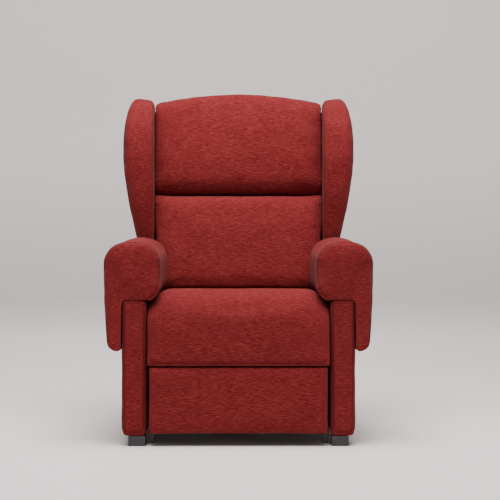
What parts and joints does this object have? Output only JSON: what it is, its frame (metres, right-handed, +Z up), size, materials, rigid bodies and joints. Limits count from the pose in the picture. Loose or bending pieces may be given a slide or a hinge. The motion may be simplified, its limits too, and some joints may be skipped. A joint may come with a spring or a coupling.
{
  "type": "patient recliner chair",
  "caption": "Upholstered wing-back patient recliner: hooked arm pads, split back cushions, reclining back and a folding leg-rest panel on a steel mechanism.",
  "frame": {"origin": "on the floor under the middle of the chair's box", "axes": "+Z up, -Y towards the front where the sitter faces, +X to the right for someone standing in front"},
  "size_m": [0.78, 0.8296, 1.062],
  "materials": {
    "red_fabric": "woven crimson melange upholstery, matt",
    "foot_plastic": "dark grey moulded plastic",
    "glide_plastic": "light grey moulded plastic",
    "black_plastic": "black moulded plastic, fine texture",
    "black_steel": "black powder coat",
    "zinc_steel": "zinc plated",
    "spring_steel": "drawn spring wire",
    "rod_steel": "ground and plated rod"
  },
  "bodies": {
    "base": {"side_panel_left": "red_fabric", "side_panel_right": "red_fabric", "arm_pad_left": "red_fabric", "arm_pad_right": "red_fabric", "rear_valance": "red_fabric", "seat_cushion": "red_fabric", "seat_apron": "red_fabric", "foot_front_left": "foot_plastic", "foot_front_right": "foot_plastic", "foot_rear_left": "foot_plastic", "foot_rear_right": "foot_plastic", "glide_left": "glide_plastic", "glide_right": "glide_plastic", "control_box": "black_plastic", "power_inlet": "black_plastic", "leg_actuator": "black_plastic", "back_actuator": "black_plastic", "base_rail_left": "black_steel", "base_rail_right": "black_steel", "mechanism_plate_left": "black_steel", "mechanism_plate_right": "black_steel", "base_cross_tube_front": "black_steel", "base_cross_tube_rear": "black_steel", "seat_rail_front": "black_steel", "seat_rail_middle": "black_steel", "seat_rail_rear": "black_steel", "arm_bolt_front_left": "zinc_steel", "arm_bolt_front_right": "zinc_steel", "arm_bolt_rear_left": "zinc_steel", "arm_bolt_rear_right": "zinc_steel", "back_pivot_pin_left": "zinc_steel", "back_pivot_pin_right": "zinc_steel", "seat_spring_1": "spring_steel", "seat_spring_2": "spring_steel", "seat_spring_3": "spring_steel", "seat_spring_4": "spring_steel"},
    "backrest": {"head_cushion": "red_fabric", "lumbar_cushion": "red_fabric", "rear_cover": "red_fabric", "wing_left": "red_fabric", "wing_right": "red_fabric", "back_upright_left": "black_steel", "back_upright_right": "black_steel", "back_bracket_left": "black_steel", "back_bracket_right": "black_steel", "back_rail_top": "black_steel", "back_rail_middle": "black_steel", "back_rail_bottom": "black_steel"},
    "leg_shaft": {"torque_shaft": "black_steel", "lower_link_left": "black_steel", "lower_link_right": "black_steel"},
    "leg_knee": {"upper_link_left": "black_steel", "upper_link_right": "black_steel"},
    "leg_rest": {"leg_rest_panel": "red_fabric", "panel_bracket_left": "black_steel", "panel_bracket_right": "black_steel"},
    "leg_rod": {"leg_rod": "rod_steel"},
    "back_rod": {"back_rod": "rod_steel"}
  },
  "joints": [
    {"name": "back_recline", "type": "hinge", "parent": "base", "child": "backrest", "pos_m": [0, 0.205, 0.33], "axis": [-1, 0, 0], "range_deg": [0, 40]},
    {"name": "legrest_fold", "type": "hinge", "parent": "base", "child": "leg_shaft", "pos_m": [0, -0.315, 0.19], "axis": [-1, 0, 0], "range_deg": [0, 85]},
    {"name": "legrest_knee", "type": "hinge", "parent": "leg_shaft", "child": "leg_knee", "pos_m": [0, -0.325, 0.055], "axis": [-1, 0, 0], "range_deg": [-135.1, 0]},
    {"name": "legrest_panel", "type": "hinge", "parent": "leg_knee", "child": "leg_rest", "pos_m": [0, -0.362, 0.2], "axis": [-1, 0, 0], "range_deg": [0, 125.1]},
    {"name": "leg_rod_slide", "type": "slide", "parent": "base", "child": "leg_rod", "axis": [0, -1, 0], "range_m": [0, 0.061]},
    {"name": "back_rod_slide", "type": "slide", "parent": "base", "child": "back_rod", "axis": [0, -1, 0], "range_m": [0, 0.0686]}
  ],
  "couplings": [
    {"joint": "legrest_knee", "follows": "legrest_fold", "ratio": -1.5882},
    {"joint": "legrest_panel", "follows": "legrest_fold", "ratio": 1.4706},
    {"joint": "leg_rod_slide", "follows": "legrest_fold", "m_per_rad": 0.040985},
    {"joint": "back_rod_slide", "follows": "back_recline", "m_per_rad": 0.097982}
  ]
}
